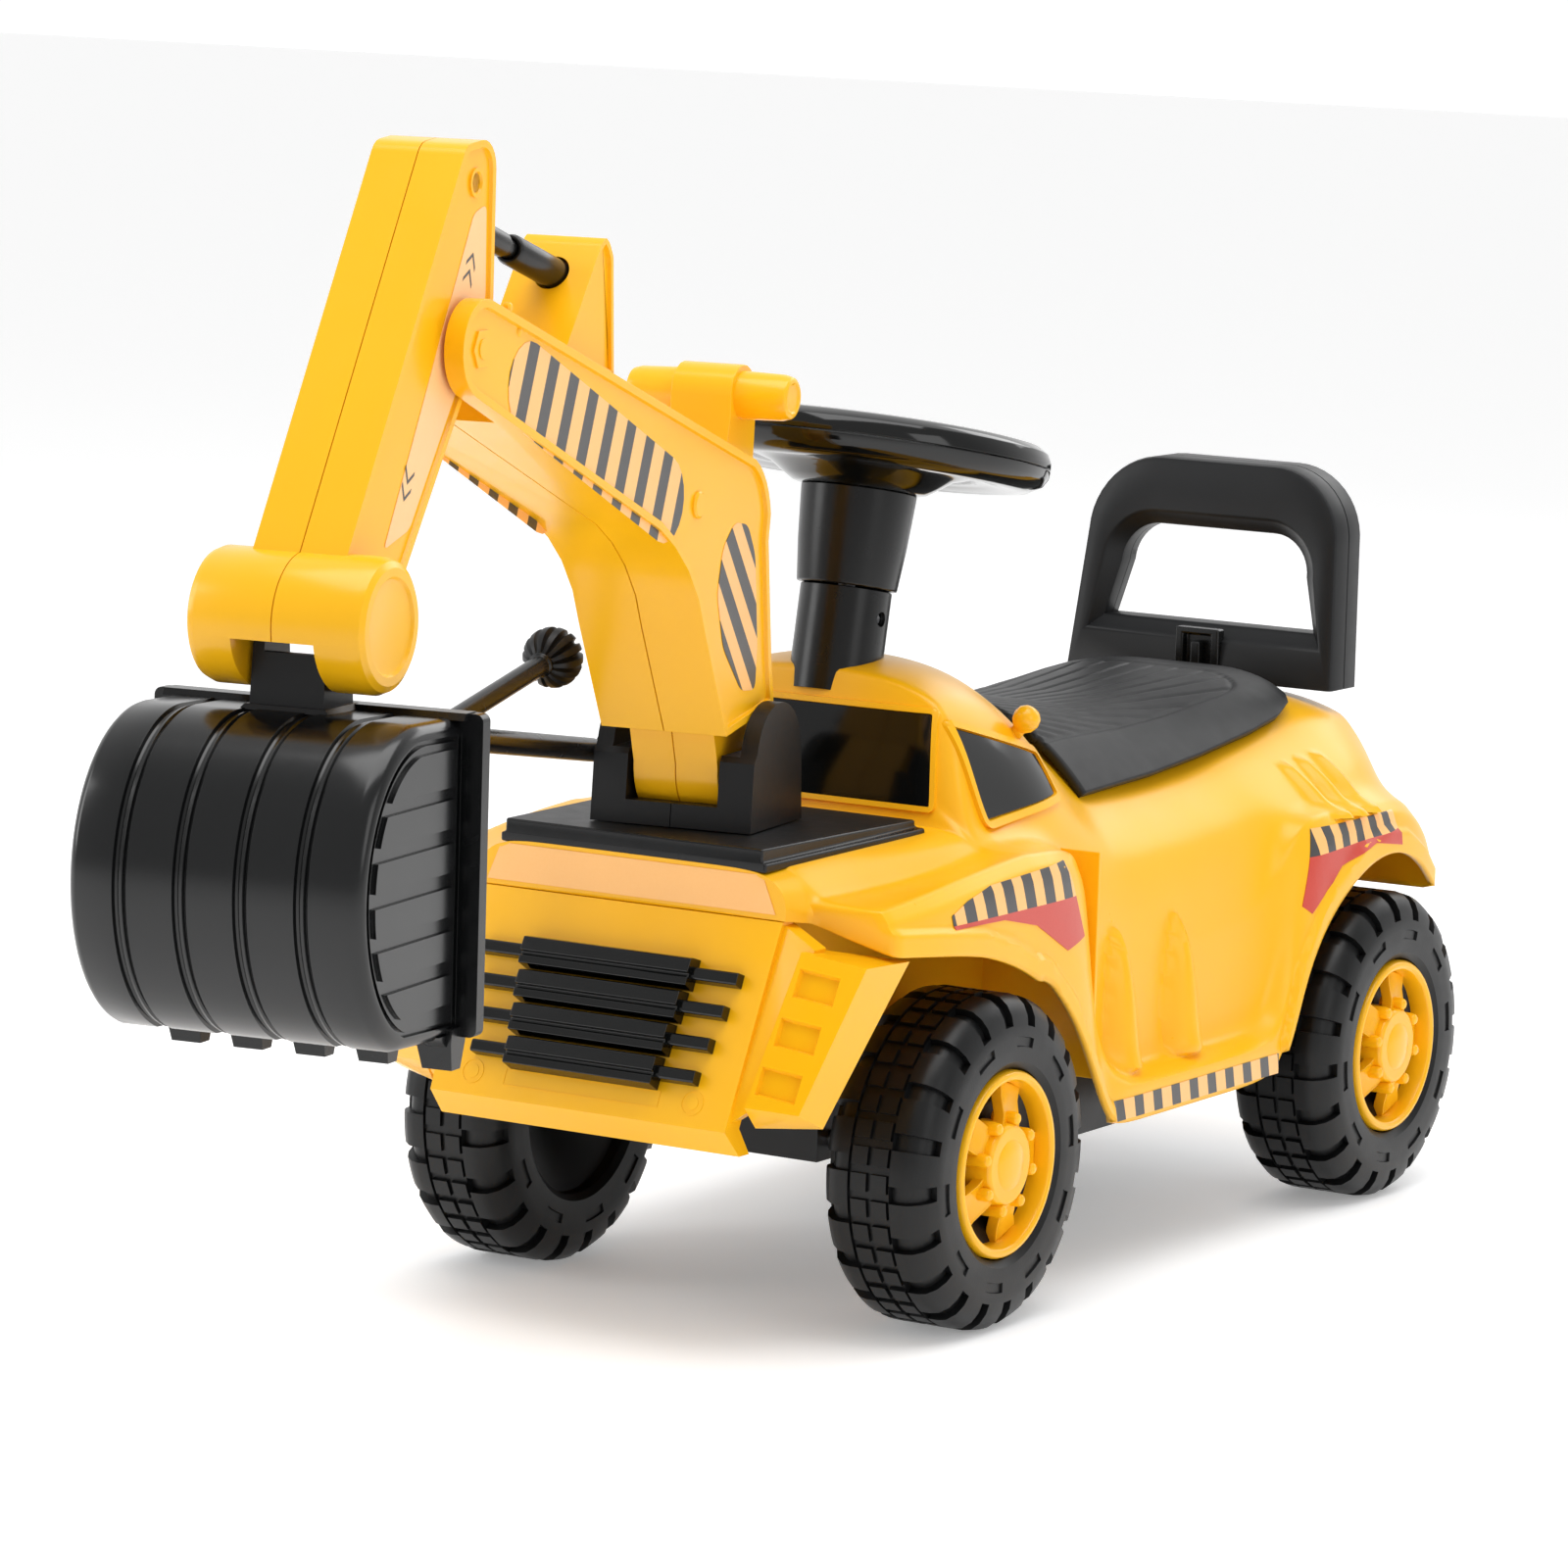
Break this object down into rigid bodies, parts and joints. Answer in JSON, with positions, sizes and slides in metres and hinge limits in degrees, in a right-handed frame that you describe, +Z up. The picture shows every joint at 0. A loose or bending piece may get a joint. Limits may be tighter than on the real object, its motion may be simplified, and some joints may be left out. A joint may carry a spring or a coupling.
{
  "type": "ride-on toy excavator",
  "caption": "Foot-to-floor ride-on excavator: steered front wheels, storage saddle with backrest grip, and a swivelling boom, stick and bucket worked by handles.",
  "frame": {"origin": "on the floor, under the middle of the whole toy's bounding box", "axes": "+Z up; the toy faces -Y, and +X is the right-hand side as seen by someone looking along +Y at its front"},
  "size_m": [0.28, 0.9653, 0.529],
  "materials": {
    "yellow_plastic": "semi-gloss blow-moulded polyethylene",
    "black_plastic": "satin moulded polypropylene",
    "gloss_black": "polished moulded plastic",
    "tyre_plastic": "satin hollow plastic tyre",
    "steel": "plain bright steel"
  },
  "bodies": {
    "chassis": {"body_shell": "yellow_plastic", "storage_bin": "yellow_plastic", "front_panel": "yellow_plastic", "grille": "black_plastic", "hood_plinth": "black_plastic", "windshield": "gloss_black", "side_window_left": "gloss_black", "side_window_right": "gloss_black", "roof_stud_left": "yellow_plastic", "roof_stud_right": "yellow_plastic", "backrest_front": "black_plastic", "backrest_rear": "black_plastic", "saddle_catch": "black_plastic", "underframe": "black_plastic", "column_tube": "black_plastic", "column_screw": "steel", "rear_axle": "steel", "push_nut_rear_left": "steel", "push_nut_rear_right": "steel"},
    "lid": {"saddle": "black_plastic"},
    "steering": {"wheel_upper": "gloss_black", "wheel_lower": "gloss_black", "wheel_cap": "gloss_black", "column_sleeve": "black_plastic", "steering_rod": "steel"},
    "front_truck": {"steering_yoke": "black_plastic", "front_axle": "steel", "push_nut_front_left": "steel", "push_nut_front_right": "steel"},
    "turret": {"turret_left": "black_plastic", "turret_right": "black_plastic", "turret_bolt": "steel", "boom_pin": "steel"},
    "boom": {"boom_left": "yellow_plastic", "boom_right": "yellow_plastic", "t_handle": "yellow_plastic", "ram_bracket": "yellow_plastic", "stick_pin": "steel"},
    "stick": {"stick_left": "yellow_plastic", "stick_right": "yellow_plastic"},
    "bucket_body": {"bucket": "gloss_black", "bucket_hinge": "black_plastic", "bucket_pin": "steel", "lever_rod": "black_plastic", "lever_knob": "black_plastic"},
    "link": {"link_rod": "black_plastic"},
    "sleeve": {"ram_sleeve": "black_plastic"},
    "rod": {"ram_rod": "black_plastic"},
    "wheel_front_left": {"tyre_front_left": "tyre_plastic", "rim_front_left": "yellow_plastic", "hub_cap_front_left": "yellow_plastic"},
    "wheel_front_right": {"tyre_front_right": "tyre_plastic", "rim_front_right": "yellow_plastic", "hub_cap_front_right": "yellow_plastic"},
    "wheel_rear_left": {"tyre_rear_left": "tyre_plastic", "rim_rear_left": "yellow_plastic", "hub_cap_rear_left": "yellow_plastic"},
    "wheel_rear_right": {"tyre_rear_right": "tyre_plastic", "rim_rear_right": "yellow_plastic", "hub_cap_rear_right": "yellow_plastic"}
  },
  "joints": [
    {"name": "turret_swivel", "type": "hinge", "parent": "chassis", "child": "turret", "pos_m": [0, -0.024, 0.219], "axis": [0, 0, 1], "range_deg": [-68, 52]},
    {"name": "boom_lift", "type": "hinge", "parent": "turret", "child": "boom", "pos_m": [-0.00045, -0.02103, 0.246], "axis": [-0.9888, -0.1495, 0], "range_deg": [-18, 10]},
    {"name": "stick_swing", "type": "hinge", "parent": "boom", "child": "stick", "pos_m": [0.04292, -0.30777, 0.447], "axis": [0.9888, 0.1495, 0], "range_deg": [-2, 16]},
    {"name": "bucket_curl", "type": "hinge", "parent": "stick", "child": "bucket_body", "pos_m": [0.05712, -0.4017, 0.346], "axis": [0.9888, 0.1495, 0], "range_deg": [-1.5, 40]},
    {"name": "link_swing", "type": "hinge", "parent": "turret", "child": "link", "pos_m": [-0.00045, -0.02103, 0.246], "axis": [-0.9888, -0.1495, 0], "range_deg": [-18, 10]},
    {"name": "sleeve_tilt", "type": "hinge", "parent": "boom", "child": "sleeve", "pos_m": [0.02363, -0.18022, 0.4681], "axis": [0.9888, 0.1495, 0], "range_deg": [-1.12, 0.14]},
    {"name": "rod_slide", "type": "slide", "parent": "sleeve", "child": "rod", "axis": [0.1439, -0.9515, 0.2719], "range_m": [-0.00195, 0.01564]},
    {"name": "steering_turn", "type": "hinge", "parent": "chassis", "child": "steering", "pos_m": [0, 0.1118, 0.3755], "axis": [0, 0.1908, 0.9816], "range_deg": [-6, 6]},
    {"name": "truck_turn", "type": "hinge", "parent": "chassis", "child": "front_truck", "pos_m": [0, 0.061, 0.075], "axis": [0, 0, 1], "range_deg": [-6, 6]},
    {"name": "saddle_lid", "type": "hinge", "parent": "chassis", "child": "lid", "pos_m": [0, 0.191, 0.257], "axis": [1, 0, 0], "range_deg": [0, 70]},
    {"name": "spin_front_left", "type": "hinge", "parent": "front_truck", "child": "wheel_front_left", "pos_m": [-0.112, 0.0227, 0.075], "axis": [1, 0, 0], "continuous": true},
    {"name": "spin_front_right", "type": "hinge", "parent": "front_truck", "child": "wheel_front_right", "pos_m": [0.112, 0.0227, 0.075], "axis": [1, 0, 0], "continuous": true},
    {"name": "spin_rear_left", "type": "hinge", "parent": "chassis", "child": "wheel_rear_left", "pos_m": [-0.112, 0.4005, 0.075], "axis": [1, 0, 0], "continuous": true},
    {"name": "spin_rear_right", "type": "hinge", "parent": "chassis", "child": "wheel_rear_right", "pos_m": [0.112, 0.4005, 0.075], "axis": [1, 0, 0], "continuous": true}
  ],
  "couplings": [
    {"joint": "link_swing", "follows": "boom_lift", "ratio": 1},
    {"joint": "sleeve_tilt", "follows": "stick_swing", "ratio": -0.07},
    {"joint": "rod_slide", "follows": "stick_swing", "m_per_rad": 0.056},
    {"joint": "truck_turn", "follows": "steering_turn", "ratio": 1}
  ]
}
